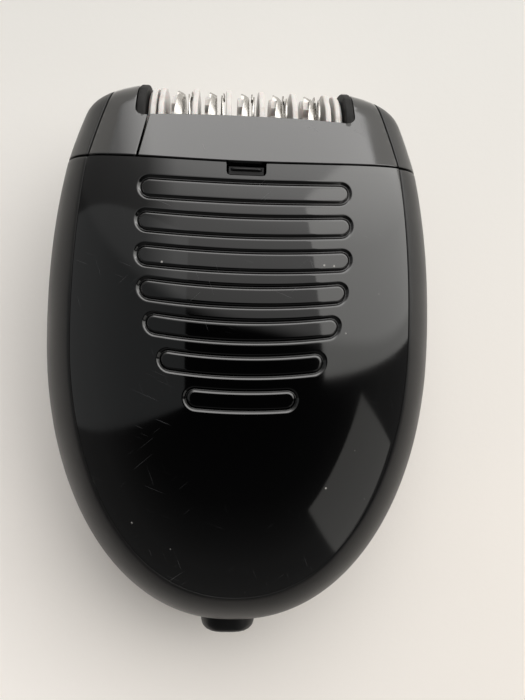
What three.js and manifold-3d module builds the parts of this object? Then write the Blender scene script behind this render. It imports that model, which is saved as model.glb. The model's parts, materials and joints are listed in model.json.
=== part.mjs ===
// Palm-size disc epilator (hair-removal shaver), millimetres, +Z up.
// X runs across the body, Y from the power inlet towards the disc head, Z out of the ribbed back.
// The origin is the centre of the bottom of the bounding box; the front cover's flat rests on Z = 0.
// Dimensions along Y below are counted before the last move by ORIGIN_Y.
import * as THREE from 'three';
import { mergeVertices } from 'three/addons/utils/BufferGeometryUtils.js';
import Module from 'manifold-3d';

const wasm = await Module();
wasm.setup();

// ---------------------------------------------------------------- driving dimensions
const GAP = 0.3; // clearance between touching pieces
const WALL = 1.8; // shell thickness of the covers
const MID_Z = 16.5; // height of the mid-plane that splits back from front
const ORIGIN_Y = 1.5; // moves the finished object along Y so that its box is centred
const TIP_Y = -43.9; // lowest point of the rim
const CREST_Y = 44.8; // where the head's sides would meet over the drum
const WIDE_Y = 3; // where the body is widest
const REACH_BELOW = 46.9; // half-lengths of the plan outline's two superellipses
const REACH_ABOVE = 60;
const SHOULDER_Y = 38; // the outline rounds over to the crest from here
const HALF_WIDTH = 31.2;
const SECTION_POWER = 2.4; // superellipse power of the cross-section
const BACK_HEIGHT = 17;
const FRONT_DEPTH = 17.5; // clipped flat at Z = 0
const THICKEST_Y = 7;
const SEAM_Y = 28.15; // head seam at the centre line
const SEAM_BEND = 0.0029; // the seam is a shallow smile: y = SEAM_Y + SEAM_BEND x^2
const GLOSS_HALF = 25.5; // half-width of the glossy back panel
const GLOSS_BELOW = 40.2; // reach of the panel's outline towards the inlet from its widest line
const GLOSS_ABOVE = 69; // and towards the head, where an ellipse carries it on to the crest
const DRUM_Y = 34.5; // axis of the disc drum
const DRUM_R = 9.2;
const CHEEK_R = 9.5; // round flanges at the ends of the drum
const CREST_R = CREST_Y - DRUM_Y;
const LIP_Y = 36.5; // edge of the drum opening in the head plates
const HEAD_SLOPE = 0.523; // fall of the head's back face towards the crest
const CHEEK_IN = 15.35; // inner face of the cheeks' flanges
const CHEEK_OUT = 16.9; // where the glossy plates stop beside the drum
const CAP_SPLIT_X = -15.2; // straight seam between the plate and the left cap

// ---------------------------------------------------------------- colours
const finish = (color, roughness, metalness = 0) =>
  new THREE.MeshStandardMaterial({ color, roughness, metalness });
const GLOSS_BLACK = finish(0x0b0b0d, 0.12);
const SATIN_BLACK = finish(0x17181a, 0.5);
const INNER_BLACK = finish(0x1e1f21, 0.6);
const WHITE = finish(0xeceae4, 0.4);
const STEEL = finish(0xb9bbbe, 0.3, 1);
const BRASS = finish(0xb8934a, 0.35, 1);
const NATURAL = finish(0xd9d4c4, 0.5);
const BOARD_GREEN = finish(0x2d5a3a, 0.6);

// ---------------------------------------------------------------- solids
function solid(geometry) {
  const bare = geometry.index ? geometry : geometry.clone();
  bare.deleteAttribute('normal');
  bare.deleteAttribute('uv');
  const merged = mergeVertices(bare, 1e-4);
  return new wasm.Manifold(new wasm.Mesh({
    numProp: 3,
    vertProperties: new Float32Array(merged.attributes.position.array),
    triVerts: new Uint32Array(merged.index.array),
  }));
}

function geometryOf(manifold) {
  const { vertProperties, triVerts } = manifold.getMesh();
  const geometry = new THREE.BufferGeometry();
  geometry.setAttribute('position', new THREE.BufferAttribute(vertProperties, 3));
  geometry.setIndex(new THREE.BufferAttribute(triVerts, 1));
  geometry.computeVertexNormals();
  return geometry;
}

function block(x0, x1, y0, y1, z0, z1) {
  const geometry = new THREE.BoxGeometry(x1 - x0, y1 - y0, z1 - z0);
  return solid(geometry.translate((x0 + x1) / 2, (y0 + y1) / 2, (z0 + z1) / 2));
}

// A rod along X from x0 to x1 about the axis through (y, z).
function rodX(radius, x0, x1, y, z = MID_Z, sides = 24) {
  const geometry = new THREE.CylinderGeometry(radius, radius, x1 - x0, sides);
  return solid(geometry.rotateZ(Math.PI / 2).translate((x0 + x1) / 2, y, z));
}

function rodY(radius, y0, y1, x, z, sides = 16) {
  const geometry = new THREE.CylinderGeometry(radius, radius, y1 - y0, sides);
  return solid(geometry.translate(x, (y0 + y1) / 2, z));
}

function rodZ(radius, z0, z1, x, y, sides = 16) {
  const geometry = new THREE.CylinderGeometry(radius, radius, z1 - z0, sides);
  return solid(geometry.rotateX(Math.PI / 2).translate(x, y, (z0 + z1) / 2));
}

// A prism of an outline of [x, y] points between two heights.
function prism(points, z0, z1) {
  const shape = new THREE.Shape(points.map(([x, y]) => new THREE.Vector2(x, y)));
  const geometry = new THREE.ExtrudeGeometry(shape, { depth: z1 - z0, bevelEnabled: false });
  return solid(geometry.translate(0, 0, z0));
}

// The same outline standing on the X axis: points are [y, z] about the axis (axisY, MID_Z).
function discX(points, x0, x1, axisY, boreRadius) {
  const shape = new THREE.Shape(points.map(([y, z]) => new THREE.Vector2(y, z)));
  const geometry = new THREE.ExtrudeGeometry(shape, { depth: x1 - x0, bevelEnabled: false });
  // the outline's own x and y become Y and Z, and its depth runs along +X
  const basis = new THREE.Matrix4().makeBasis(
    new THREE.Vector3(0, 1, 0), new THREE.Vector3(0, 0, 1), new THREE.Vector3(1, 0, 0));
  geometry.applyMatrix4(basis).translate(x0, axisY, MID_Z);
  return solid(geometry).subtract(rodX(boreRadius, x0 - 1, x1 + 1, axisY, MID_Z, 12));
}

// ---------------------------------------------------------------- the body's outer form
const superellipse = (t, n) => (1 - Math.min(Math.abs(t), 1) ** n) ** (1 / n);

function halfWidth(y) {
  const [reach, power] = y < WIDE_Y ? [REACH_BELOW, 2.11] : [REACH_ABOVE, 2.14];
  const side = HALF_WIDTH * superellipse((y - WIDE_Y) / reach, power);
  return y < SHOULDER_Y ? side : side * superellipse((y - SHOULDER_Y) / (CREST_Y - SHOULDER_Y), 2.9);
}

// Height of one face above the mid-plane along the centre line.
function faceHeight(y, peak) {
  if (y < THICKEST_Y) return peak * superellipse((y - THICKEST_Y) / (THICKEST_Y - TIP_Y), 2.2);
  const atSeam = peak * superellipse((SEAM_Y - THICKEST_Y) / 55, 2.2);
  if (y < SEAM_Y) return peak * superellipse((y - THICKEST_Y) / 55, 2.2);
  const tilt = Math.atan(HEAD_SLOPE);
  const tangentY = DRUM_Y + CREST_R * Math.sin(tilt);
  if (y > tangentY) return Math.sqrt(Math.max(0, CREST_R ** 2 - (y - DRUM_Y) ** 2));
  const tangentZ = CREST_R * Math.cos(tilt);
  return atSeam + (tangentZ - atSeam) * (y - SEAM_Y) / (tangentY - SEAM_Y);
}

// The closed outer form, shrunk evenly by an inset for inner walls.
function envelope(inset = 0, around = 32, along = 28) {
  const geometry = new THREE.SphereGeometry(1, around, along);
  const position = geometry.attributes.position;
  const middleY = (CREST_Y + TIP_Y) / 2;
  const halfLength = (CREST_Y - TIP_Y) / 2;
  const shrink = [1 - inset / HALF_WIDTH, 1 - inset / halfLength, 1 - inset / BACK_HEIGHT];
  const curve = (v) => Math.sign(v) * Math.abs(v) ** (2 / SECTION_POWER);
  for (let i = 0; i < position.count; i += 1) {
    const ring = Math.hypot(position.getX(i), position.getZ(i));
    const across = ring > 1e-6 ? position.getX(i) / ring : 0;
    const upward = ring > 1e-6 ? position.getZ(i) / ring : 0;
    const y = middleY + halfLength * position.getY(i);
    const width = ring > 1e-6 ? halfWidth(y) : 0;
    const height = ring > 1e-6 ? faceHeight(y, upward > 0 ? BACK_HEIGHT : FRONT_DEPTH) : 0;
    position.setXYZ(
      i,
      curve(across) * width * shrink[0],
      middleY + (y - middleY) * shrink[1],
      MID_Z + curve(upward) * height * shrink[2],
    );
  }
  return solid(geometry).intersect(block(-50, 50, -60, 60, inset, 50));
}

// Everything on the head's side of the curved seam, or on the body's side.
function seamSide(headSide, offset) {
  const reach = 40;
  const steps = 16;
  const points = [];
  for (let i = 0; i <= steps; i += 1) {
    const x = -reach + (2 * reach * i) / steps;
    points.push([x, SEAM_Y + SEAM_BEND * x * x + offset]);
  }
  const farY = headSide ? 60 : -60;
  points.push([reach, farY], [-reach, farY]);
  return prism(headSide ? points : points.reverse(), -10, 60);
}

// The upright prism whose wall parts the glossy panels from the satin rim.
function glossPrism(grow, z0, z1) {
  const points = [];
  const topY = 50;
  const topAngle = Math.asin((topY - WIDE_Y) / (GLOSS_ABOVE + grow));
  const place = (angle) => {
    const rise = Math.sin(angle);
    const reach = GLOSS_HALF + grow;
    if (rise > 0) return [reach * Math.cos(angle), WIDE_Y + (GLOSS_ABOVE + grow) * rise];
    const bend = (v) => Math.sign(v) * Math.abs(v) ** (2 / 2.1);
    return [reach * bend(Math.cos(angle)), WIDE_Y + (GLOSS_BELOW + grow) * bend(rise)];
  };
  const steps = 44;
  for (let i = 0; i <= steps; i += 1) {
    points.push(place(-Math.PI - topAngle + ((Math.PI + 2 * topAngle) * i) / steps));
  }
  return prism(points, z0, z1);
}

const HALF_GAP = GAP / 2;
const outer = envelope();
const inner = envelope(WALL, 20, 18);
const pocketDepth = envelope(WALL + GAP, 20, 18);
const bodySide = seamSide(false, -HALF_GAP);
const headSide = seamSide(true, HALF_GAP);
const shell = outer.subtract(inner);

// ---------------------------------------------------------------- the scene graph
const object = new THREE.Group();
const bodyGroup = new THREE.Group();
const headGroup = new THREE.Group();
const drumGroup = new THREE.Group();
object.add(bodyGroup, headGroup);
headGroup.add(drumGroup);

function add(group, name, manifold, material) {
  const mesh = new THREE.Mesh(geometryOf(manifold.translate([0, ORIGIN_Y, 0])), material);
  mesh.name = name;
  group.add(mesh);
}

// ---------------------------------------------------------------- housing screws and their bosses
const SCREWS = [[-14.5, -24], [14.5, -24], [-7, 16], [7, 16]];
const DECK_TOP = MID_Z + 0.8;
const DECK_BOTTOM = MID_Z - 0.8;
const SCREW_R = 1;
const SCREW_HEAD_R = 1.9;
const SCREW_HEAD_TALL = 1.5;
const SCREW_RECESS = 1.2; // depth of the heads under the front cover's skin
const SCREW_TIP = 23;

function frontSkinZ(x, y) {
  const depth = faceHeight(y, FRONT_DEPTH) * superellipse(x / halfWidth(y), SECTION_POWER);
  return Math.max(0, MID_Z - depth);
}

function bosses(z0, z1, radius = 2.9) {
  return SCREWS.map(([x, y]) => rodZ(radius, z0, z1, x, y)).reduce((all, one) => all.add(one));
}

const screwHoles = bosses(0.5, SCREW_TIP + GAP, SCREW_R + GAP);
const headBottom = ([x, y]) => frontSkinZ(x, y) + SCREW_RECESS;
const screwHeadWells = SCREWS
  .map((at) => rodZ(SCREW_HEAD_R + GAP, -1, headBottom(at) + SCREW_HEAD_TALL + GAP, at[0], at[1]))
  .reduce((all, one) => all.add(one));

SCREWS.forEach((at, index) => {
  const [x, y] = at;
  const headTop = headBottom(at) + SCREW_HEAD_TALL;
  const screw = rodZ(SCREW_HEAD_R, headBottom(at), headTop, x, y)
    .add(rodZ(SCREW_R, headTop - 0.5, SCREW_TIP, x, y, 12));
  add(bodyGroup, `housing_screw_${index + 1}`, screw, STEEL);
});

// ---------------------------------------------------------------- back cover: ribbed glossy panel
const NOTCH_HALF = 2.85;
const NOTCH_DEPTH = 2;
const notch = block(-NOTCH_HALF, NOTCH_HALF, SEAM_Y - NOTCH_DEPTH, 40, MID_Z + 6, 50);

const RIB_PITCH = 4.95;
const TOP_RIB_Y = 23.75;
const RIB_WIDTHS = [31.0, 31.6, 31.5, 30.5, 28.5, 24.3, 16.6];
const RIB_BENDS = [183, 150, 140, 108, 90, 82, 83];
const RIB_HALF = 1.8;
const GROOVE = 0.7;
const GROOVE_DEPTH = 0.6;

// A capsule bent along the ribs' shallow smile, as an outline of [x, y] points.
function bentCapsule(halfLength, halfHeight, middleY, bendRadius) {
  const points = [];
  const along = 8;
  const round = 4;
  const straight = halfLength - halfHeight;
  const rise = (x) => middleY + (x * x) / (2 * bendRadius);
  // side 1 is the lower edge and the right end, side -1 the upper edge and the left end
  for (const side of [1, -1]) {
    for (let i = 0; i < along; i += 1) {
      const x = side * straight * ((2 * i) / along - 1);
      points.push([x, rise(x) - side * halfHeight]);
    }
    for (let i = 0; i < round; i += 1) {
      const turn = Math.PI * (i / round - 0.5);
      const x = side * (straight + halfHeight * Math.cos(turn));
      points.push([x, rise(straight) + side * halfHeight * Math.sin(turn)]);
    }
  }
  return points;
}

function ribGrooves() {
  const rings = RIB_WIDTHS.map((width, i) => {
    const y = TOP_RIB_Y - RIB_PITCH * i;
    const bend = RIB_BENDS[i];
    return prism(bentCapsule(width / 2, RIB_HALF, y, bend), MID_Z, 50)
      .subtract(prism(bentCapsule(width / 2 - GROOVE, RIB_HALF - GROOVE, y, bend), 0, 60));
  });
  return rings.reduce((all, one) => all.add(one)).subtract(envelope(GROOVE_DEPTH));
}

const backCover = shell
  .intersect(glossPrism(-HALF_GAP, MID_Z + 2, 50))
  .add(bosses(DECK_TOP + GAP, 50).intersect(outer))
  .intersect(bodySide)
  .subtract(screwHoles)
  .subtract(ribGrooves())
  .subtract(notch);
add(bodyGroup, 'back_cover', backCover, GLOSS_BLACK);

// ---------------------------------------------------------------- rim frame: the satin band around the body
const INLET_Z = 14.2;
const INLET_HALF_X = 4.65;
const INLET_HALF_Z = 3.6;
const INLET_X = -0.9; // the inlet sits a little off the centre line
const INLET_TIP_Y = -46.75;
const INLET_BACK_Y = -33.5;

// A stadium-section bar along Y: a box with round sides.
function stadium(halfX, halfZ, y0, y1) {
  const straight = halfX - halfZ;
  return block(INLET_X - straight, INLET_X + straight, y0, y1, INLET_Z - halfZ, INLET_Z + halfZ)
    .add(rodY(halfZ, y0, y1, INLET_X - straight, INLET_Z))
    .add(rodY(halfZ, y0, y1, INLET_X + straight, INLET_Z));
}

const inletHole = stadium(INLET_HALF_X + GAP, INLET_HALF_Z + GAP, -60, -30);
const rimFrame = shell
  .subtract(glossPrism(HALF_GAP, -10, 60))
  .intersect(bodySide)
  .subtract(inletHole);
add(bodyGroup, 'rim_frame', rimFrame, SATIN_BLACK);

// ---------------------------------------------------------------- front cover with the switch slot
const SLOT_X = 3.2;
const SLIDER_REST_Y = -7.5; // centre of the slider at 0
const SLIDER_TRAVEL = 8;
const SLIDER_HALF_Y = 3.3;
const SLOT_Y = [SLIDER_REST_Y - SLIDER_HALF_Y - GAP, SLIDER_REST_Y + SLIDER_TRAVEL + SLIDER_HALF_Y + GAP];
const frontCover = shell
  .intersect(glossPrism(-HALF_GAP, -5, MID_Z - 2))
  .add(bosses(1, DECK_BOTTOM - GAP).intersect(outer))
  .intersect(bodySide)
  .subtract(screwHoles)
  .subtract(screwHeadWells)
  .subtract(block(-SLOT_X, SLOT_X, SLOT_Y[0], SLOT_Y[1], -1, 3));
add(bodyGroup, 'front_cover', frontCover, SATIN_BLACK);

// ---------------------------------------------------------------- gear train dimensions
const FINE_MODULE = 0.7; // pinion and large reduction wheel
const DRIVE_MODULE = 0.6; // small reduction wheel, idler and drum gear
const PINION_TEETH = 8;
const WHEEL_TEETH = 28;
const SMALL_TEETH = 12;
const IDLER_TEETH = 24;
const DRUM_TEETH = 18;
const IDLER_Y = DRUM_Y - (DRIVE_MODULE * (DRUM_TEETH + IDLER_TEETH)) / 2;
const WHEEL_Y = IDLER_Y - (DRIVE_MODULE * (IDLER_TEETH + SMALL_TEETH)) / 2;
const MOTOR_Y = WHEEL_Y - (FINE_MODULE * (WHEEL_TEETH + PINION_TEETH)) / 2;
const FINE_X = [-16.2, -13.2]; // face width of the first stage
const DRIVE_X = [-19.8, -17.4]; // face width of the second stage and the drum gear
const PIN_R = 1;

// A spur gear outline with straight-flanked teeth narrowed for backlash; a tooth points at startAngle.
function gearOutline(teeth, module, startAngle) {
  const pitch = (teeth * module) / 2;
  const points = [];
  for (let i = 0; i < teeth; i += 1) {
    const middle = startAngle + (2 * Math.PI * i) / teeth;
    const step = Math.PI / teeth;
    const corners = [
      [pitch - 1.15 * module, -0.68],
      [pitch + 0.8 * module, -0.2],
      [pitch + 0.8 * module, 0.2],
      [pitch - 1.15 * module, 0.68],
    ];
    corners.forEach(([radius, share]) => {
      const angle = middle + share * step;
      points.push([radius * Math.cos(angle), radius * Math.sin(angle)]);
    });
  }
  return points;
}

// Towards +Y the outline's angle is 0, towards -Y it is PI. Each gear turns a gap to the tooth it meets.
const halfPitch = (teeth) => Math.PI / teeth;
const gear = (teeth, module, startAngle, span, axisY) =>
  discX(gearOutline(teeth, module, startAngle), span[0], span[1], axisY, PIN_R + GAP);

// ---------------------------------------------------------------- motor
const MOTOR_R = 11.8;
const MOTOR_X = [-9.9, 15.2];
const motorCan = rodX(MOTOR_R, MOTOR_X[0], MOTOR_X[1], MOTOR_Y)
  .subtract(rodX(MOTOR_R - 1, MOTOR_X[0] + 1, MOTOR_X[1] + 1, MOTOR_Y))
  .subtract(rodX(PIN_R + GAP, MOTOR_X[0] - 1, MOTOR_X[0] + 2, MOTOR_Y));
add(bodyGroup, 'motor_can', motorCan, STEEL);
const endBell = rodX(MOTOR_R, MOTOR_X[1] + GAP, MOTOR_X[1] + 2.3, MOTOR_Y)
  .add(rodX(MOTOR_R - 1 - GAP, MOTOR_X[1] - 1.5, MOTOR_X[1] + 1, MOTOR_Y))
  .add(rodX(3, MOTOR_X[1] + 1, MOTOR_X[1] + 3.6, MOTOR_Y));
add(bodyGroup, 'motor_end_bell', endBell.subtract(
  rodX(PIN_R + GAP, MOTOR_X[1] - 3, MOTOR_X[1] + 1.8, MOTOR_Y)), WHITE);
const rotorRadius = MOTOR_R - 2.2;
const motorShaft = rodX(PIN_R, -12.9, MOTOR_X[1] + 1.5, MOTOR_Y)
  .add(rodX(rotorRadius, MOTOR_X[0] + 2.2, MOTOR_X[1] - 2.6, MOTOR_Y));
add(bodyGroup, 'motor_rotor', motorShaft, STEEL);
const pinion = discX(gearOutline(PINION_TEETH, FINE_MODULE, halfPitch(PINION_TEETH)),
  FINE_X[0] - 0.2, FINE_X[1], MOTOR_Y, 0.7);
add(bodyGroup, 'motor_pinion', pinion, BRASS);

// ---------------------------------------------------------------- reduction wheel, idler and their pins
const wheel = gear(WHEEL_TEETH, FINE_MODULE, Math.PI, FINE_X, WHEEL_Y)
  .add(gear(SMALL_TEETH, DRIVE_MODULE, halfPitch(SMALL_TEETH), [DRIVE_X[0], FINE_X[0] + 0.2], WHEEL_Y));
add(bodyGroup, 'reduction_wheel', wheel, NATURAL);
add(bodyGroup, 'idler_gear', gear(IDLER_TEETH, DRIVE_MODULE, 0, DRIVE_X, IDLER_Y), NATURAL);
add(bodyGroup, 'reduction_wheel_pin', rodX(PIN_R, -22.4, -10.7, WHEEL_Y, MID_Z, 16), STEEL);
add(bodyGroup, 'idler_gear_pin', rodX(PIN_R, -24, -17.2, IDLER_Y, MID_Z, 16), STEEL);

// ---------------------------------------------------------------- chassis and gear bracket
const WALL_X = [-12.2, -10.6]; // the chassis wall that carries the motor and the gear pins
const TUB_BACK_Y = 23.8; // how far the head's rounded tub reaches into the body
const chassisOutline = envelope(WALL + 2 * GAP, 20, 18).intersect(seamSide(false, -5));
const gearWall = block(WALL_X[0], WALL_X[1], -13, 22, MID_Z - 11, MID_Z + 11);
const motorBay = block(WALL_X[1], 19.4, MOTOR_Y - MOTOR_R - GAP, MOTOR_Y + MOTOR_R + GAP, 0, 40);
const gearBay = block(-24.8, WALL_X[0], -8, TUB_BACK_Y + 7, 0, 40);
const tubBay = block(-18, 18, TUB_BACK_Y - GAP, 40, 0, 40);
const chassis = chassisOutline
  .intersect(block(-40, 40, -32.5, 30, DECK_BOTTOM, DECK_TOP))
  .subtract(motorBay)
  .subtract(gearBay)
  .subtract(tubBay)
  .add(gearWall)
  .subtract(rodX(PIN_R + GAP, -13, -10, MOTOR_Y))
  .subtract(rodX(PIN_R + GAP, -13, -10, WHEEL_Y))
  .subtract(screwHoles);
add(bodyGroup, 'chassis', chassis, INNER_BLACK);

const BRACKET_X = [-24.4, -22.9];
const bracket = block(BRACKET_X[0], BRACKET_X[1], 4, 25, MID_Z - 5, MID_Z + 5)
  .add(block(-27.4, BRACKET_X[1], 4, 22, DECK_TOP + GAP, DECK_TOP + 1.6))
  .subtract(rodX(PIN_R + GAP, -25, -22, WHEEL_Y))
  .subtract(rodX(PIN_R + GAP, -25, -22, IDLER_Y));
add(bodyGroup, 'gear_bracket', bracket, INNER_BLACK);

// ---------------------------------------------------------------- electronics and switch
const BOARD_Z = 9.5;
add(bodyGroup, 'circuit_board', block(-11, 11, -31, -17, BOARD_Z, BOARD_Z + 1.6), BOARD_GREEN);
add(bodyGroup, 'capacitor', rodZ(2.5, 0, 4, 0, 0).translate([7, -21, BOARD_Z + 1.6 + GAP - 0.2]), STEEL);
const switchBase = block(-4, 4, -26, -18, 5.2, BOARD_Z - GAP);
add(bodyGroup, 'switch_base', switchBase, INNER_BLACK);
const TAIL_Y = -17.4; // the slider's tail works the switch
const slider = block(-2.8, 2.8, SLIDER_REST_Y - SLIDER_HALF_Y, SLIDER_REST_Y + SLIDER_HALF_Y, 0.5, 2.5)
  .add(block(-4.4, 4.4, SLIDER_REST_Y - 3.9, SLIDER_REST_Y + 4.2, WALL + 1.5 * GAP, 3.4))
  .add(block(-1.6, 1.6, TAIL_Y, SLIDER_REST_Y, 3, 4))
  .add(block(-1, 1, TAIL_Y, TAIL_Y + 1, 3.5, 5.6));
add(bodyGroup, 'switch_slider', slider, GLOSS_BLACK);

// ---------------------------------------------------------------- power inlet
const SOCKET_END_Y = -37;
const inletHousing = stadium(INLET_HALF_X, INLET_HALF_Z, INLET_TIP_Y, INLET_BACK_Y)
  .subtract(stadium(INLET_HALF_X - 0.9, INLET_HALF_Z - 0.9, INLET_TIP_Y - 1, SOCKET_END_Y));
const PIN_REACH = 1.6;
const pinHole = (side) => rodY(0.6 + GAP, -50, -30, INLET_X + side * PIN_REACH, INLET_Z, 12);
add(bodyGroup, 'inlet_housing', inletHousing.subtract(pinHole(-1)).subtract(pinHole(1)), SATIN_BLACK);
for (const [name, side] of [['left', -1], ['right', 1]]) {
  const pin = rodY(0.6, -40.6, -32.9, INLET_X + side * PIN_REACH, INLET_Z, 12);
  add(bodyGroup, `inlet_pin_${name}`, pin, BRASS);
}

// ---------------------------------------------------------------- head release tab and its spring
const TAB_TOP = MID_Z + faceHeight(SEAM_Y - 1, BACK_HEIGHT) - 0.7;
const ARM_Z = [28.3, 29.4];
const releaseTab = block(-2.5, 2.5, SEAM_Y - NOTCH_DEPTH + GAP, SEAM_Y - 2 * GAP, ARM_Z[0], TAB_TOP)
  .add(block(-3.6, 3.6, 19, SEAM_Y - 3 * GAP, ARM_Z[0], ARM_Z[1]));
add(bodyGroup, 'release_button', releaseTab, SATIN_BLACK);
const spring = block(-1.5, 1.5, 19.2, 21.8, 25.2, 25.6)
  .add(block(-1.5, 1.5, 19.2, 19.6, 25.2, 28))
  .add(block(-1.5, 1.5, 19.2, 22.6, 27.6, 28));
add(bodyGroup, 'release_spring', spring, STEEL);

// ---------------------------------------------------------------- epilating head
const drumWell = rodX(DRUM_R + 0.5, -CHEEK_IN, CHEEK_IN, DRUM_Y, MID_Z, 40);

// The part of the outer form that a head plate covers: sign 1 is the back, -1 the front.
function plateRegion(sign, grow) {
  const near = MID_Z + sign * (3 - grow);
  const far = MID_Z + sign * 40;
  const opening = block(-CHEEK_OUT + grow, CHEEK_OUT - grow, LIP_Y + grow, 60, -10, 60);
  return glossPrism(grow - HALF_GAP, Math.min(near, far), Math.max(near, far))
    .subtract(opening);
}

const TUB_HALF_X = 16.9;
const tub = rodX(DRUM_Y - TUB_BACK_Y, -TUB_HALF_X, TUB_HALF_X, DRUM_Y, MID_Z, 40)
  .intersect(block(-50, 50, 0, 33, 0, 50));
const gearWell = rodX(DRIVE_MODULE * (DRUM_TEETH / 2 + 1) + 0.7, DRIVE_X[0] - 0.5, -TUB_HALF_X - 0.01,
  DRUM_Y, MID_Z, 28);
const gearThroat = block(DRIVE_X[0] - 0.5, -TUB_HALF_X - 0.01, 20, DRUM_Y, MID_Z - 7.5, MID_Z + 7.5);
const AXLE_R = 1.5;
const axleHole = rodX(AXLE_R + GAP, -30, 30, DRUM_Y);
const plateRoom = plateRegion(1, GAP).add(plateRegion(-1, GAP)).subtract(pocketDepth);
const headFrame = pocketDepth
  .intersect(headSide)
  .add(tub.subtract(plateRoom))
  .subtract(drumWell)
  .subtract(block(-CHEEK_OUT, CHEEK_OUT, 31, 60, -10, 60))
  .subtract(gearWell)
  .subtract(gearThroat)
  .subtract(axleHole.intersect(block(-21.5, 18.5, 0, 60, 0, 40)));
add(headGroup, 'head_frame', headFrame, INNER_BLACK);

// The discs' axle turns in two round cheeks, whose rims are the dark flanges beside the drum.
for (const [name, side] of [['left', -1], ['right', 1]]) {
  const middle = (side * (CHEEK_IN + CHEEK_OUT - GAP)) / 2;
  const half = (CHEEK_OUT - GAP - CHEEK_IN) / 2;
  const cheek = rodX(CHEEK_R, middle - half, middle + half, DRUM_Y, MID_Z, 48)
    .intersect(block(-60, 60, 31 + GAP, 60, -10, 60));
  add(headGroup, `bearing_cheek_${name}`, cheek.subtract(plateRoom).subtract(axleHole), SATIN_BLACK);
  const outside = side < 0 ? block(-60, -CHEEK_OUT, 0, 60, -10, 60) : block(CHEEK_OUT, 60, 0, 60, -10, 60);
  const headSkin = shell
    .intersect(headSide)
    .intersect(outside)
    .subtract(plateRegion(1, GAP))
    .subtract(plateRegion(-1, GAP));
  add(headGroup, `head_side_${name}`, headSkin, SATIN_BLACK);
}

const backPlate = shell.intersect(plateRegion(1, 0)).intersect(headSide).subtract(drumWell);
const capSide = block(-60, CAP_SPLIT_X - HALF_GAP, -60, 60, -10, 60);
const plateSide = block(CAP_SPLIT_X + HALF_GAP, 60, -60, 60, -10, 60);
add(headGroup, 'head_back_plate', backPlate.intersect(plateSide), GLOSS_BLACK);
add(headGroup, 'head_back_cap', backPlate.intersect(capSide), GLOSS_BLACK);
const frontPlate = shell.intersect(plateRegion(-1, 0)).intersect(headSide).subtract(drumWell);
add(headGroup, 'head_front_plate', frontPlate, GLOSS_BLACK);

// ---------------------------------------------------------------- disc drum
const CORE_R = 4.6;
const DISC_BORE = CORE_R + GAP;
const PITCH_X = 5.16; // from one tall carrier disc to the next
const FIRST_X = -13.05;
const PETALS = 6;

const lobedOutline = (radius, depth, lobes, steps) => Array.from({ length: steps }, (_, i) => {
  const angle = (2 * Math.PI * i) / steps;
  const reach = radius - depth * (0.5 - 0.5 * Math.cos(lobes * angle));
  return [reach * Math.cos(angle), reach * Math.sin(angle)];
});

add(drumGroup, 'disc_axle', rodX(AXLE_R, -20.9, 18, DRUM_Y, MID_Z, 16), STEEL);
const core = rodX(CORE_R, -13.55, 13.55, DRUM_Y, MID_Z, 20).subtract(rodX(AXLE_R + GAP, -20, 20, DRUM_Y));
add(drumGroup, 'drum_core', core, INNER_BLACK);
const drumGear = discX(gearOutline(DRUM_TEETH, DRIVE_MODULE, Math.PI + halfPitch(DRUM_TEETH)),
  DRIVE_X[0] + 0.2, DRIVE_X[1], DRUM_Y, AXLE_R + GAP);
add(drumGroup, 'drum_gear', drumGear, WHITE);

function disc(name, outline, centreX, thickness, material) {
  const half = thickness / 2;
  const solidDisc = discX(outline, centreX - half, centreX + half, DRUM_Y, DISC_BORE);
  add(drumGroup, name, solidDisc, material);
}

for (const [name, sign] of [['left', -1], ['right', 1]]) {
  const cap = rodX(DRUM_R - 0.2, -0.6, 0.6, DRUM_Y, MID_Z, 28).translate([sign * 14.45, 0, 0]);
  add(drumGroup, `end_cap_${name}`, cap.subtract(rodX(AXLE_R + GAP, -20, 20, DRUM_Y)), WHITE);
}
for (let i = 0; i < 6; i += 1) {
  disc(`carrier_disc_${i + 1}`, lobedOutline(DRUM_R, 0.3, 8, 32), FIRST_X + PITCH_X * i, 0.9, WHITE);
}
for (let i = 0; i < 5; i += 1) {
  const carrierX = FIRST_X + PITCH_X * i;
  disc(`spacer_disc_${i + 1}`, lobedOutline(8.3, 0.8, 8, 24), carrierX + 1.9, 1.0, WHITE);
  disc(`tweezer_disc_${2 * i + 1}`, lobedOutline(9.1, 2.4, PETALS, 24), carrierX + 3.1, 0.35, STEEL);
  disc(`tweezer_disc_${2 * i + 2}`, lobedOutline(9.1, 2.4, PETALS, 24), carrierX + 4.0, 0.35, STEEL);
}

export default object;
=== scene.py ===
"""A palm-size disc epilator on a pale surface: fine shells, a detailed disc drum and moulded plastic."""
import json
import math

import bmesh
import bpy
import numpy as np
from mathutils import Euler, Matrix, Vector, geometry, kdtree


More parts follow.
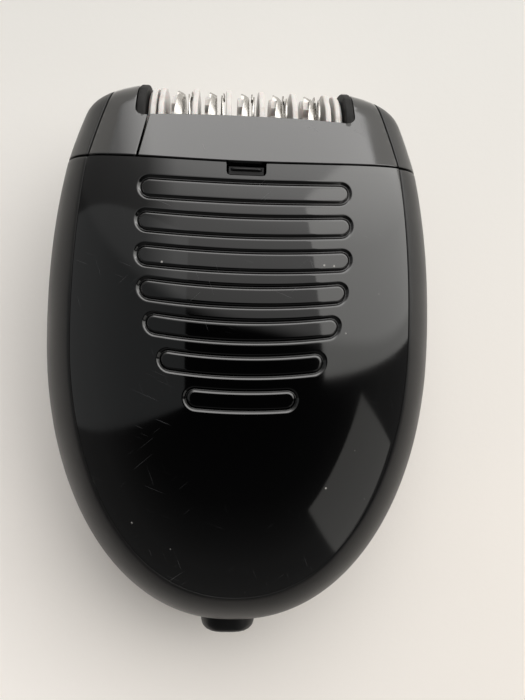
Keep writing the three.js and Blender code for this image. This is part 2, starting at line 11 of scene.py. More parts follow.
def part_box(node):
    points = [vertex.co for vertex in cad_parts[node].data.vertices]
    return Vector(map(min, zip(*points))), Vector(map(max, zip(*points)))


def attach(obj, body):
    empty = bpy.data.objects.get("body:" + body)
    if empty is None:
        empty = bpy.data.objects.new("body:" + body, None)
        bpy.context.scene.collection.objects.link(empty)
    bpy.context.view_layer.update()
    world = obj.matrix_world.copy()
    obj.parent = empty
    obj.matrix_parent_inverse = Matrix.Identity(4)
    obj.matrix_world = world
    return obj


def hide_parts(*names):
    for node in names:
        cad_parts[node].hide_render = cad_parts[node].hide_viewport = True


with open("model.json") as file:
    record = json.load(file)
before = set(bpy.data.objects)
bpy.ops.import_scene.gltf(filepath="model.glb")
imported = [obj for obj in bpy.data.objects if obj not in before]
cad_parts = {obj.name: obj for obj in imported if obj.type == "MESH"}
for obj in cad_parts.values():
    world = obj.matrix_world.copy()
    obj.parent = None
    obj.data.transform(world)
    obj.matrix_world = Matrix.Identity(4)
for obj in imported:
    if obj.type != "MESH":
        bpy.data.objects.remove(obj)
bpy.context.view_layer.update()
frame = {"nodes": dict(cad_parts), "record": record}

MM = 0.001
TAU = 2 * math.pi
ORIGIN_Y = 1.5  # the forms below are stated before this last move along Y, as in part.mjs

# ---------------------------------------------------------------- the CAD frame, in millimetres
def box_mm(node):
    """The lowest and highest corners of a CAD node, in millimetres."""
    low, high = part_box(node)
    shift = Vector((0, ORIGIN_Y, 0))
    return Vector(low) / MM - shift, Vector(high) / MM - shift


axle_low, axle_high = box_mm("disc_axle")
DRUM_Y = (axle_low.y + axle_high.y) / 2
MID_Z = (axle_low.z + axle_high.z) / 2
inlet_low, inlet_high = box_mm("inlet_housing")

# the body's outer form, as part.mjs has it
HALF_WIDTH = 31.2
TIP_Y = -43.9
CREST_Y = 44.8
WIDE_Y = 3.0
REACH_BELOW = 46.9
BELOW_POWER = 2.11
REACH_ABOVE = 60.0
ABOVE_POWER = 2.14
SHOULDER_Y = 38.0
SHOULDER_POWER = 2.9
SECTION_POWER = 2.4
PROFILE_POWER = 2.2
BACK_HEIGHT = 17.0
FRONT_DEPTH = 17.5
THICKEST_Y = 7.0
UPPER_REACH = 55.0
SEAM_Y = 28.15
SEAM_BEND = 0.0029
SEAM_GAP = 0.17
HEAD_SLOPE = 0.523
CREST_R = CREST_Y - DRUM_Y
LIP_Y = 36.5
CHEEK_X = 16.9
GLOSS_HALF = 25.5
GLOSS_BELOW = 40.2
GLOSS_POWER = 2.1
GLOSS_ABOVE = 69.0
PANEL_GAP = 0.12  # from a panel's nominal outline to its edge, and from there on to its neighbour
CREST_GAP = 0.25
WALL = 1.6
HEAD_WALL = 0.9
SIDE_WALL = 1.2


def superellipse(t, power):
    """The quarter of a superellipse: 1 at t = 0, falling to 0 at t = 1."""
    return (1 - np.clip(np.abs(t), 0, 1) ** power) ** (1 / power)


def half_width(y):
    """Half the width of the plan outline at y."""
    y = np.asarray(y, float)
    lower = HALF_WIDTH * superellipse((y - WIDE_Y) / REACH_BELOW, BELOW_POWER)
    upper = HALF_WIDTH * superellipse((y - WIDE_Y) / REACH_ABOVE, ABOVE_POWER)
    side = np.where(y < WIDE_Y, lower, upper)
    corner = superellipse(np.clip((y - SHOULDER_Y) / (CREST_Y - SHOULDER_Y), 0, 1), SHOULDER_POWER)
    return np.maximum(side * corner, 1e-6)


def face_height(y, peak):
    """Height of one face above the mid-plane along the centre line."""
    y = np.asarray(y, float)
    tail = peak * superellipse((y - THICKEST_Y) / (THICKEST_Y - TIP_Y), PROFILE_POWER)
    body = peak * superellipse((y - THICKEST_Y) / UPPER_REACH, PROFILE_POWER)
    at_seam = peak * superellipse((SEAM_Y - THICKEST_Y) / UPPER_REACH, PROFILE_POWER)
    tilt = math.atan(HEAD_SLOPE)
    tangent_y = DRUM_Y + CREST_R * math.sin(tilt)
    tangent_z = CREST_R * math.cos(tilt)
    slope = at_seam + (tangent_z - at_seam) * (y - SEAM_Y) / (tangent_y - SEAM_Y)
    crest = np.sqrt(np.clip(CREST_R ** 2 - (y - DRUM_Y) ** 2, 0, None))
    head = np.where(y > tangent_y, crest, slope)
    return np.where(y < THICKEST_Y, tail, np.where(y < SEAM_Y, body, head))


def seam_y(x):
    """The curved seam between head and body."""
    return SEAM_Y + SEAM_BEND * np.asarray(x, float) ** 2


def crease_y(x, y):
    """Bends y back so that the head's crease follows the seam."""
    share = np.clip((CREST_Y - y) / (CREST_Y - SEAM_Y), 0, 1)
    return y - SEAM_BEND * x ** 2 * share * np.clip((y - THICKEST_Y) / (SEAM_Y - THICKEST_Y), 0, 1)


def back_z(x, y):
    """Height of the back skin."""
    x, y = np.asarray(x, float), np.asarray(y, float)
    return MID_Z + face_height(crease_y(x, y), BACK_HEIGHT) * superellipse(x / half_width(y), SECTION_POWER)


def front_z(x, y):
    """Height of the front skin, flat where the object rests."""
    x, y = np.asarray(x, float), np.asarray(y, float)
    depth = face_height(crease_y(x, y), FRONT_DEPTH) * superellipse(x / half_width(y), SECTION_POWER)
    return np.maximum(MID_Z - depth, 0)


def gloss_half(y):
    """Half the width of the glossy panels' outline at y."""
    y = np.asarray(y, float)
    below = GLOSS_HALF * superellipse((y - WIDE_Y) / GLOSS_BELOW, GLOSS_POWER)
    above = GLOSS_HALF * superellipse((y - WIDE_Y) / GLOSS_ABOVE, 2.0)
    return np.where(y < WIDE_Y, below, above)


# ---------------------------------------------------------------- materials
class Nodes:
    """A material's node tree, with short calls to add and join nodes."""

    def __init__(self, name):
        self.material = bpy.data.materials.new(name)
        self.material.use_nodes = True
        self.tree = self.material.node_tree
        self.tree.nodes.clear()
        self.output = self.add("ShaderNodeOutputMaterial")
        self.shader = self.add("ShaderNodeBsdfPrincipled")
        self.link(self.shader.outputs[0], self.output.inputs[0])
        self.place = self.add("ShaderNodeTexCoord").outputs["Object"]

    def add(self, kind, **settings):
        node = self.tree.nodes.new(kind)
        for key, value in settings.items():
            setattr(node, key, value)
        return node

    def link(self, source, target):
        self.tree.links.new(source, target)

    def stretched(self, scale, turn=(0, 0, 0)):
        mapping = self.add("ShaderNodeMapping", vector_type="TEXTURE")
        mapping.inputs["Scale"].default_value = [1 / s for s in scale]
        mapping.inputs["Rotation"].default_value = turn
        self.link(self.place, mapping.inputs["Vector"])
        return mapping.outputs[0]

    def noise(self, scale, detail=3.0, vector=None, roughness=0.5):
        node = self.add("ShaderNodeTexNoise")
        node.inputs["Scale"].default_value = scale
        node.inputs["Detail"].default_value = detail
        node.inputs["Roughness"].default_value = roughness
        self.link(vector or self.place, node.inputs["Vector"])
        return node.outputs[0]

    def ramp(self, source, stops):
        node = self.add("ShaderNodeValToRGB")
        elements = node.color_ramp.elements
        while len(elements) < len(stops):
            elements.new(0.5)
        for element, (place, colour) in zip(elements, stops):
            element.position = place
            element.color = (*colour, 1)
        self.link(source, node.inputs[0])
        return node.outputs[0]

    def range(self, source, low, high, to_low, to_high):
        node = self.add("ShaderNodeMapRange")
        for key, value in zip(("From Min", "From Max", "To Min", "To Max"), (low, high, to_low, to_high)):
            node.inputs[key].default_value = value
        self.link(source, node.inputs["Value"])
        return node.outputs[0]

    def math(self, operation, first, second):
        node = self.add("ShaderNodeMath", operation=operation)
        for socket, value in zip(node.inputs, (first, second)):
            if isinstance(value, (int, float)):
                socket.default_value = value
            else:
                self.link(value, socket)
        return node.outputs[0]

    def mix(self, share, first, second):
        node = self.add("ShaderNodeMix", data_type="RGBA")
        self.link(share, node.inputs[0])
        for socket, value in ((node.inputs[6], first), (node.inputs[7], second)):
            if isinstance(value, tuple):
                socket.default_value = (*value, 1)
            else:
                self.link(value, socket)
        return node.outputs[2]

    def bump(self, height, strength, distance):
        node = self.add("ShaderNodeBump")
        node.inputs["Strength"].default_value = strength
        node.inputs["Distance"].default_value = distance
        self.link(height, node.inputs["Height"])
        self.link(node.outputs[0], self.shader.inputs["Normal"])

    def set(self, **values):
        for key, value in values.items():
            self.shader.inputs[key.replace("_", " ")].default_value = value


def scratches(nodes, count_turns):
    """Thin scratches in a few directions: noise drawn out long, cut to its crests. Returns 0 to 1."""
    total = None
    for turn in count_turns:
        lines = nodes.noise(1.0, 1.0, nodes.stretched((6500, 130, 130), (0.0, 0.0, turn)))
        patches = nodes.range(nodes.noise(120, 1.0), 0.55, 0.66, 0.0, 1.0)
        thin = nodes.range(lines, 0.73, 0.77, 0.0, 1.0)
        share = nodes.math("MULTIPLY", thin, patches)
        total = share if total is None else nodes.math("MAXIMUM", total, share)
    return total


def dust(nodes, scale, cut):
    """Sparse specks of lint and dust. Returns 0 to 1."""
    cells = nodes.add("ShaderNodeTexVoronoi")
    cells.inputs["Scale"].default_value = scale
    cells.inputs["Randomness"].default_value = 1.0
    nodes.link(nodes.place, cells.inputs["Vector"])
    small = nodes.range(cells.outputs["Distance"], 0.05, 0.11, 1.0, 0.0)
    chosen = nodes.range(cells.outputs["Color"], cut, cut + 0.01, 0.0, 1.0)
    return nodes.math("MULTIPLY", small, chosen)


def gloss_black_material():
    nodes = Nodes("gloss_black")
    marks = scratches(nodes, (0.35, 1.2, 2.3))
    specks = dust(nodes, 520, 0.86)
    smear = nodes.range(nodes.noise(42, 4.0), 0.35, 0.75, 0.035, 0.13)
    rough = nodes.math("MAXIMUM", smear, nodes.math("MULTIPLY", marks, 0.45))
    rough = nodes.math("MAXIMUM", rough, nodes.math("MULTIPLY", specks, 0.7))
    nodes.link(rough, nodes.shader.inputs["Roughness"])
    deep = nodes.mix(marks, (0.0008, 0.0008, 0.0009), (0.03, 0.03, 0.032))
    nodes.link(nodes.mix(specks, deep, (0.36, 0.35, 0.33)), nodes.shader.inputs["Base Color"])
    nodes.set(IOR=1.7)
    nodes.bump(nodes.math("ADD", nodes.noise(60, 1.0), nodes.math("MULTIPLY", marks, -0.05)), 0.25, 0.00006)
    return nodes.material


def satin_black_material():
    nodes = Nodes("satin_black")
    grain = nodes.noise(7500, 3.0, roughness=0.7)
    specks = dust(nodes, 420, 0.88)
    worn = nodes.range(nodes.noise(55, 5.0), 0.3, 0.8, 0.30, 0.46)
    nodes.link(worn, nodes.shader.inputs["Roughness"])
    base = nodes.ramp(nodes.noise(90, 4.0), ((0.3, (0.006, 0.006, 0.0063)), (0.75, (0.011, 0.0107, 0.0105))))
    nodes.set(Specular_IOR_Level=0.3)
    nodes.link(nodes.mix(specks, base, (0.25, 0.24, 0.22)), nodes.shader.inputs["Base Color"])
    nodes.bump(grain, 0.35, 0.00003)
    return nodes.material


def inner_black_material():
    nodes = Nodes("inner_black")
    base = nodes.ramp(nodes.noise(160, 4.0), ((0.3, (0.004, 0.004, 0.004)), (0.8, (0.011, 0.0105, 0.010))))
    nodes.link(base, nodes.shader.inputs["Base Color"])
    nodes.link(nodes.range(nodes.noise(800, 2.0), 0.3, 0.8, 0.45, 0.7), nodes.shader.inputs["Roughness"])
    nodes.set(Specular_IOR_Level=0.12)
    nodes.bump(nodes.noise(3500, 3.0), 0.3, 0.00003)
    return nodes.material


def disc_white_material():
    nodes = Nodes("disc_white")
    stain = nodes.range(nodes.noise(260, 5.0, roughness=0.65), 0.55, 0.8, 0.0, 1.0)
    nodes.link(nodes.mix(stain, (0.50, 0.48, 0.46), (0.34, 0.30, 0.26)), nodes.shader.inputs["Base Color"])
    nodes.link(nodes.range(nodes.noise(900, 3.0), 0.3, 0.8, 0.28, 0.5), nodes.shader.inputs["Roughness"])
    nodes.set(Subsurface_Weight=0.12, Subsurface_Scale=0.001)
    nodes.bump(nodes.noise(2600, 3.0), 0.25, 0.00002)
    return nodes.material


def metal_material(name, colour, dark, rough_low, rough_high, grain=(400, 9000, 9000)):
    nodes = Nodes(name)
    drawn = nodes.noise(1.0, 3.0, nodes.stretched(grain))
    nodes.link(nodes.ramp(drawn, ((0.25, dark), (0.7, colour))), nodes.shader.inputs["Base Color"])
    rough = nodes.range(nodes.noise(700, 3.0), 0.3, 0.75, rough_low, rough_high)
    nodes.link(rough, nodes.shader.inputs["Roughness"])
    nodes.set(Metallic=1.0)
    nodes.bump(drawn, 0.2, 0.00001)
    return nodes.material


def natural_plastic_material():
    nodes = Nodes("natural_plastic")
    tint = nodes.ramp(nodes.noise(220, 3.0), ((0.3, (0.66, 0.62, 0.5)), (0.8, (0.74, 0.71, 0.6))))
    nodes.link(tint, nodes.shader.inputs["Base Color"])
    nodes.link(nodes.range(nodes.noise(1200, 3.0), 0.3, 0.8, 0.3, 0.55), nodes.shader.inputs["Roughness"])
    nodes.set(Subsurface_Weight=0.15, Subsurface_Scale=0.0015)
    return nodes.material


def board_green_material():
    nodes = Nodes("board_green")
    weave = nodes.add("ShaderNodeTexWave", wave_type="BANDS", bands_direction="DIAGONAL")
    weave.inputs["Scale"].default_value = 900
    nodes.link(nodes.place, weave.inputs["Vector"])
    nodes.link(nodes.ramp(weave.outputs[0], ((0.3, (0.01, 0.09, 0.03)), (0.7, (0.02, 0.14, 0.05)))),
               nodes.shader.inputs["Base Color"])
    nodes.link(nodes.range(nodes.noise(500, 2.0), 0.3, 0.8, 0.2, 0.35), nodes.shader.inputs["Roughness"])
    return nodes.material


MATERIALS = {
    "gloss_black": gloss_black_material(),
    "satin_black": satin_black_material(),
    "inner_black": inner_black_material(),
    "disc_white": disc_white_material(),
    "tweezer_steel": metal_material("tweezer_steel", (0.52, 0.51, 0.49), (0.30, 0.28, 0.25), 0.18, 0.36),
    "steel": metal_material("steel", (0.6, 0.6, 0.6), (0.42, 0.42, 0.43), 0.2, 0.35),
    "brass": metal_material("brass", (0.76, 0.57, 0.26), (0.55, 0.38, 0.15), 0.2, 0.4),
    "natural_plastic": natural_plastic_material(),
    "board_green": board_green_material(),
}


def finish_cad_nodes():
    """Gives every carried-over CAD node the procedural material of its slot."""
    for entry in frame["record"]["subparts"]:
        node = frame["nodes"][entry["node"]]
        node.data.materials.clear()
        node.data.materials.append(MATERIALS[entry["material_slot"]])


# ---------------------------------------------------------------- mesh helpers (millimetres in, metres out)
def piece(name, points, faces, slot, body, stands_for=()):
    """A mesh piece that rides on a body and takes its finish from a slot."""
    mesh = bpy.data.meshes.new(name)
    mesh.from_pydata([(x * MM, (y + ORIGIN_Y) * MM, z * MM) for x, y, z in points], [], faces)
    mesh.materials.append(MATERIALS[slot])
    mesh.shade_smooth()
    obj = bpy.data.objects.new(name, mesh)
    bpy.context.scene.collection.objects.link(obj)
    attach(obj, body)
    if stands_for:
        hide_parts(*stands_for)
    return obj


def apply_modifiers(obj):
    """Swaps the mesh for its evaluated one, so that no modifier is left."""
    graph = bpy.context.evaluated_depsgraph_get()
    finished = bpy.data.meshes.new_from_object(obj.evaluated_get(graph))
    obj.modifiers.clear()
    obj.data = finished
    return obj


def thicken(obj, wall=WALL, edge=0.22):
    """Makes a skin into a shell, grown inwards, with softly rounded edges."""
    solidify = obj.modifiers.new("wall", "SOLIDIFY")
    solidify.thickness = wall * MM
    solidify.offset = -1
    solidify.use_even_offset = False
    bevel = obj.modifiers.new("edge", "BEVEL")
    bevel.width = edge * MM
    bevel.segments = 3
    bevel.limit_method = "ANGLE"
    bevel.angle_limit = math.radians(50)
    bevel.use_clamp_overlap = True
    return apply_modifiers(obj)


def turn_outward(obj):
    """Makes an open band's faces look away from its middle."""
    middle = sum((v.co for v in obj.data.vertices), Vector()) / len(obj.data.vertices)
    if sum((p.center - middle).dot(p.normal) for p in obj.data.polygons) < 0:
        obj.data.flip_normals()


def close_solid(obj, edge_angle):
    """Turns a closed solid's faces outwards and keeps its edges sharp above an angle in degrees."""
    solid = bmesh.new()
    solid.from_mesh(obj.data)
    bmesh.ops.recalc_face_normals(solid, faces=solid.faces)
    solid.to_mesh(obj.data)
    solid.free()
    obj.data.set_sharp_from_angle(angle=math.radians(edge_angle))


def exact_normals(obj, height):
    """Gives the vertices on a skin z = height(x, y) that surface's own normals."""
    mesh = obj.data
    count = len(mesh.vertices)
    spots = np.zeros(count * 3)
    mesh.vertices.foreach_get("co", spots)
    spots = spots.reshape(-1, 3) / MM - (0, ORIGIN_Y, 0)
    usual = np.zeros(count * 3)
    mesh.vertices.foreach_get("normal", usual)
    usual = usual.reshape(-1, 3)
    x, y, z = spots.T
    step = 0.02
    slope_x = (height(x + step, y) - height(x - step, y)) / (2 * step)
    slope_y = (height(x, y + step) - height(x, y - step)) / (2 * step)
    facing = np.sign(usual[:, 2])
    exact = np.stack([-slope_x, -slope_y, np.ones(count)], 1) * facing[:, None]
    exact /= np.linalg.norm(exact, axis=1)[:, None]
    close = (np.abs(z - height(x, y)) < 0.004) & ((exact * usual).sum(1) > 0.9)
    usual[close] = exact[close]
    mesh.normals_split_custom_set_from_vertices(usual.tolist())


def inside(loop, points):
    """Which points lie inside a closed outline."""
    loop, points = np.asarray(loop), np.asarray(points)
    x, y = points[:, 0], points[:, 1]
    result = np.zeros(len(points), bool)
    for (x0, y0), (x1, y1) in zip(loop, np.roll(loop, -1, 0)):
        crosses = (y0 > y) != (y1 > y)
        with np.errstate(divide="ignore", invalid="ignore"):
            result ^= crosses & (x < (x1 - x0) * (y - y0) / (y1 - y0) + x0)
    return result


def spaced(points, step, closed=True):
    """The same line with its points an even step apart."""
    points = np.asarray(points, float)
    if closed:
        points = np.vstack([points, points[:1]])
    lengths = np.r_[0, np.cumsum(np.hypot(*np.diff(points, axis=0).T))]
    count = max(int(round(lengths[-1] / step)), 3)
    at = np.linspace(0, lengths[-1], count + 1)
    even = np.stack([np.interp(at, lengths, points[:, k]) for k in (0, 1)], 1)
    return even[:-1] if closed else even


def skin_mesh(outline, details, holes, spacing):
    """Triangles that fill an outline in plan, with detail loops kept as edges and holes left open."""
    loops = [np.asarray(outline)] + [np.asarray(l) for l in details] + [np.asarray(h) for h in holes]
    tree = kdtree.KDTree(sum(len(l) for l in loops))
    index = 0
    for loop in loops:
        for x, y in loop:
            tree.insert((x, y, 0), index)
            index += 1
    tree.balance()
    low, high = loops[0].min(0), loops[0].max(0)
    rows = np.arange(low[1], high[1], spacing * 0.87)
    grid = [(x + (spacing / 2 if r % 2 else 0), y) for r, y in enumerate(rows)
            for x in np.arange(low[0], high[0], spacing)]
    grid = np.array(grid)
    grid = grid[inside(loops[0], grid)]
    grid = [p for p in grid if tree.find((p[0], p[1], 0))[2] > spacing * 0.55]
    points = [tuple(p) for loop in loops for p in loop] + [tuple(p) for p in grid]
    edges = []
    start = 0
    for loop in loops:
        edges += [(start + i, start + (i + 1) % len(loop)) for i in range(len(loop))]
        start += len(loop)
    corners, _, triangles, *_ = geometry.delaunay_2d_cdt([Vector(p) for p in points], edges, [], 1, 1e-6)
    corners = np.array([tuple(c) for c in corners])
    triangles = np.array(triangles)
    centres = corners[triangles].mean(1)
    keep = inside(loops[0], centres)
    for hole in holes:
        keep &= ~inside(hole, centres)
    return corners, triangles[keep]


def height_panel(name, outline, height, slot, body, stands_for, details=(), holes=(), spacing=0.9,
                 wall=WALL, faces_up=True, edge=0.22):
    """A shell whose outer skin is z = height(x, y) over an outline."""
    corners, triangles = skin_mesh(outline, details, holes, spacing)
    used = np.unique(triangles)
    renumber = np.full(len(corners), -1)
    renumber[used] = np.arange(len(used))
    corners, triangles = corners[used], renumber[triangles]
    z = height(corners[:, 0], corners[:, 1])
    points = np.column_stack([corners, z])
    a, b, c = (corners[triangles[:, k]] for k in range(3))
    turn = (b[:, 0] - a[:, 0]) * (c[:, 1] - a[:, 1]) - (b[:, 1] - a[:, 1]) * (c[:, 0] - a[:, 0])
    flip = (turn > 0) != faces_up
    triangles[flip] = triangles[flip][:, ::-1]
    obj = piece(name, points.tolist(), triangles.tolist(), slot, body, stands_for)
    thicken(obj, wall, edge)
    exact_normals(obj, height)
    return obj


def grid_faces(rows, columns, close_columns=False):
    """Quads of a grid of points stored row by row."""
    faces = []
    for r in range(rows - 1):
        for c in range(columns if close_columns else columns - 1):
            following = (c + 1) % columns
            faces.append((r * columns + c, r * columns + following,
                          (r + 1) * columns + following, (r + 1) * columns + c))
    return faces


# ---------------------------------------------------------------- outlines
def arc(centre_x, centre_y, radius, start, end, steps=8):
    """Points of an arc, angles in degrees."""
    turns = np.radians(np.linspace(start, end, steps + 1))
    return [(centre_x + radius * math.cos(t), centre_y + radius * math.sin(t)) for t in turns]


def bent(v, power):
    """A cosine or sine taken from the circle to the superellipse of a power."""
    return np.sign(v) * np.abs(v) ** (2 / power)


def gloss_lower(shrink, steps=90):
    """The panels' outline from the widest line on the right, round the tail, to the left."""
    turns = np.linspace(0, -math.pi, steps + 1)
    x = (GLOSS_HALF - shrink) * bent(np.cos(turns), GLOSS_POWER)
    y = WIDE_Y + (GLOSS_BELOW - shrink) * bent(np.sin(turns), GLOSS_POWER)
    return list(zip(x, y))


def gloss_corner(shrink, gap):
    """Where the panels' outline meets the seam on the right."""
    x = 23.4  # a first guess, which the loop settles
    for _ in range(5):
        x = float(gloss_half(seam_y(x) + gap)) - shrink
    return x, float(seam_y(x) + gap)


def outer_corner(gap):
    """Where the plan outline meets the seam on the right."""
    x = 28.2  # a first guess, which the loop settles
    for _ in range(5):
        x = float(half_width(seam_y(x) + gap))
    return x, float(seam_y(x)) + gap


NOTCH_HALF = 2.85
NOTCH_DEPTH = 2.0
NOTCH_ROUND = 0.5


def cover_outline(shrink, notch):
    """The outline of a body cover: round the tail and up to the seam."""
    corner_x, corner_y = gloss_corner(shrink, -SEAM_GAP)
    rise = np.linspace(corner_y, WIDE_Y, 40)
    right = [(float(gloss_half(y)) - shrink, y) for y in rise][:-1]
    lower = gloss_lower(shrink)
    left = [(-x, y) for x, y in right[::-1]]
    seam = lambda x0, x1: [(x, float(seam_y(x)) - SEAM_GAP) for x in np.linspace(x0, x1, 30)]
    top = seam(-corner_x, corner_x)[1:]
    if notch:
        foot = SEAM_Y - NOTCH_DEPTH
        dip = arc(-NOTCH_HALF + NOTCH_ROUND, foot + NOTCH_ROUND, NOTCH_ROUND, 180, 270, 5)
        dip += arc(NOTCH_HALF - NOTCH_ROUND, foot + NOTCH_ROUND, NOTCH_ROUND, 270, 360, 5)
        top = seam(-corner_x, -NOTCH_HALF)[1:] + dip + seam(NOTCH_HALF, corner_x)
    return right + lower + left[1:] + top[:-1]


# ---------------------------------------------------------------- ribs
RIB_PITCH = 4.95
TOP_RIB_Y = 23.75
RIB_WIDTHS = (31.0, 31.6, 31.5, 30.5, 28.5, 24.3, 16.6)
RIB_BENDS = (183, 150, 140, 108, 90, 82, 83)
RIB_HALF = 1.8
GROOVE = 0.8
GROOVE_DEPTH = 0.34
RIBS = [(TOP_RIB_Y - RIB_PITCH * i, w / 2, b) for i, (w, b) in enumerate(zip(RIB_WIDTHS, RIB_BENDS))]
GROOVE_LOOPS = (-0.60, -0.45, -0.38, -0.30, -0.15, -0.05, 0.05, 0.15, 0.30, 0.38, 0.45, 0.60)


def groove_distance(x, y, rib):
    """Signed distance from the middle line of a rib's groove, outwards."""
    middle, half, bend = rib
    level = y - middle - x ** 2 / (2 * bend)
    beyond = np.maximum(np.abs(x) - (half - RIB_HALF), 0)
    return np.hypot(beyond, level) - (RIB_HALF - GROOVE / 2)


def soft_step(share, ease=0.16):
    """Rises from 0 to 1 in a straight line whose two corners are eased."""
    share = np.clip(share, -ease, 1)
    foot = np.where(share < ease, (share + ease) ** 2 / (4 * ease), share)
    return np.where(share > 1 - ease, share - (share - 1 + ease) ** 2 / (2 * ease) * 0.5, foot)


def ribbed_back(x, y):
    """The back skin with the ribs' grooves sunk in it."""
    x, y = np.asarray(x, float), np.asarray(y, float)
    sunk = np.zeros_like(x)
    for rib in RIBS:
        share = np.abs(groove_distance(x, y, rib)) / (GROOVE / 2)
        sunk += GROOVE_DEPTH * soft_step(1 - share)
    return back_z(x, y) - sunk


def rib_loops():
    """Capsule loops along each groove, close enough together to carry its section."""
    loops = []
    for middle, half, bend in RIBS:
        straight = half - RIB_HALF
        for offset in GROOVE_LOOPS:
            radius = RIB_HALF - GROOVE / 2 + offset
            capsule = [(x, -radius) for x in np.linspace(-straight, straight, 30)]
            capsule += arc(straight, 0, radius, -90, 90, 12)[1:-1]
            capsule += [(x, radius) for x in np.linspace(straight, -straight, 30)]
            capsule += arc(-straight, 0, radius, 90, 270, 12)[1:-1]
            even = spaced(capsule, 0.42)
            loops.append([(x, y + middle + x ** 2 / (2 * bend)) for x, y in even])
    return loops


def build_back_cover():
    """The glossy back panel with its seven groove-outlined ribs and the notch."""
    outline = spaced(cover_outline(PANEL_GAP, True), 0.45)
    height_panel("back_cover_fine", outline, ribbed_back, "gloss_black", "body", ("back_cover",), rib_loops())


SLOT_HALF = 3.2
SLOT_LOW_Y = -11.0
SLOT_HIGH_Y = 4.0
SLOT_ROUND = 0.6
SCREW_GAP = 0.3


def switch_slot():
    """The rounded rectangle that the slide switch runs in."""
    x, low, high = SLOT_HALF - SLOT_ROUND, SLOT_LOW_Y + SLOT_ROUND, SLOT_HIGH_Y - SLOT_ROUND
    corners = ((x, high), (-x, high), (-x, low), (x, low))
    line = [(SLOT_HALF, low), (SLOT_HALF, high)]
    for number, (centre_x, centre_y) in enumerate(corners):
        line += arc(centre_x, centre_y, SLOT_ROUND, 90 * number, 90 * (number + 1), 4)
    return spaced(line, 0.5)


def build_front_cover():
    """The front panel with the switch slot and a hole round each screw."""
    holes = [switch_slot()]
    for number in range(1, 5):
        low, high = box_mm(f"housing_screw_{number}")
        centre = (low + high) / 2
        holes.append(arc(centre.x, centre.y, (high.x - low.x) / 2 + SCREW_GAP, 0, 345, 23))
    outline = spaced(cover_outline(PANEL_GAP, False), 0.6)
    height_panel("front_cover_fine", outline, front_z, "satin_black", "body", ("front_cover",),
                 holes=holes, spacing=1.1, faces_up=False)


# ---------------------------------------------------------------- rim: the satin band round the body
def rim_lines(steps=150):
    """Matching points on the panels' outline and on the plan outline, from left seam to right seam."""
    corner_y = gloss_corner(-PANEL_GAP, -SEAM_GAP)[1]
    outer_y = outer_corner(-SEAM_GAP)[1]
    climb = np.linspace(1, 0, 40)[:-1]
    inner_rise = WIDE_Y + (corner_y - WIDE_Y) * climb
    outer_rise = WIDE_Y + (outer_y - WIDE_Y) * climb
    turns = np.linspace(math.pi, TAU, steps + 1)
    inner_low = np.stack([(GLOSS_HALF + PANEL_GAP) * bent(np.cos(turns), GLOSS_POWER),
                          WIDE_Y + (GLOSS_BELOW + PANEL_GAP) * bent(np.sin(turns), GLOSS_POWER)], 1)
    outer_low = np.stack([HALF_WIDTH * bent(np.cos(turns), BELOW_POWER),
                          WIDE_Y + REACH_BELOW * bent(np.sin(turns), BELOW_POWER)], 1)
    inner_up = np.stack([gloss_half(inner_rise) + PANEL_GAP, inner_rise], 1)
    outer_up = np.stack([half_width(outer_rise), outer_rise], 1)
    mirror = np.array([-1, 1])
    inner = np.vstack([inner_up * mirror, inner_low, inner_up[::-1]])
    outer = np.vstack([outer_up * mirror, outer_low, outer_up[::-1]])
    return inner, outer


def band_points(inner, outer, steps=18):
    """Rows of points from the back panel's edge round the side to the front panel's edge."""
    shares = np.sin(np.linspace(0, math.pi / 2, steps + 1))
    rows = []
    for share in shares:
        plan = inner + (outer - inner) * share
        rows.append(np.column_stack([plan, back_z(plan[:, 0], plan[:, 1])]))
    rows[-1][:, 2] = MID_Z
    for share in shares[::-1][1:]:
        plan = inner + (outer - inner) * share
        rows.append(np.column_stack([plan, front_z(plan[:, 0], plan[:, 1])]))
    return rows


def build_rim():
    """The satin band round the body, between the two panels."""
    inner, outer = rim_lines()
    rows = band_points(inner, outer)
    points = np.vstack(rows)
    faces = grid_faces(len(rows), len(inner))
    obj = piece("rim_frame_fine", points.tolist(), faces, "satin_black", "body", ("rim_frame",))
    turn_outward(obj)
    thicken(obj, WALL, 0.25)


# ---------------------------------------------------------------- head shells
CAP_FOOT_X = -15.75
CAP_TOP_X = -14.75
LIP_ROUND = 1.6
CHEEK_FLARE = 0.12
PLATE_DROP = 3.2  # how far the plates reach round the crest, short of the mid-plane


def crest_line(x):
    """Where a head plate's skin comes down to PLATE_DROP from the mid-plane, over the crest."""
    low, high = 39.5, CREST_Y - 0.02
    for _ in range(40):
        middle = (low + high) / 2
        low, high = (middle, high) if float(back_z(x, middle)) - MID_Z > PLATE_DROP else (low, middle)
    return low


def crest_corner(shrink, rise):
    """Where the plates' outline, drawn in by shrink, meets the crest line, moved up by rise."""
    x = 20.4  # a first guess, which the loop settles
    for _ in range(20):
        x = float(gloss_half(crest_line(x) + rise)) - shrink
    return x


def cheek_arm(sign):
    """A plate's outline from the seam's end up round a cheek and down to the lip, on the side of sign."""
    corner_y = gloss_corner(PANEL_GAP, SEAM_GAP)[1]
    top_x = crest_corner(PANEL_GAP, 0)
    side = [(float(gloss_half(y)) - PANEL_GAP, y) for y in np.linspace(corner_y, crest_line(top_x), 24)]
    crest = [(x, crest_line(x)) for x in np.linspace(top_x, CHEEK_X, 10)][1:]
    lip = arc(CHEEK_X - LIP_ROUND, LIP_Y + LIP_ROUND, LIP_ROUND, 0, -90, 8)
    return [(sign * x, y) for x, y in side + crest + lip]


def head_seam(x0, x1):
    """The head's side of the seam, from x0 to x1."""
    return [(x, float(seam_y(x)) + SEAM_GAP) for x in np.linspace(x0, x1, 40)]


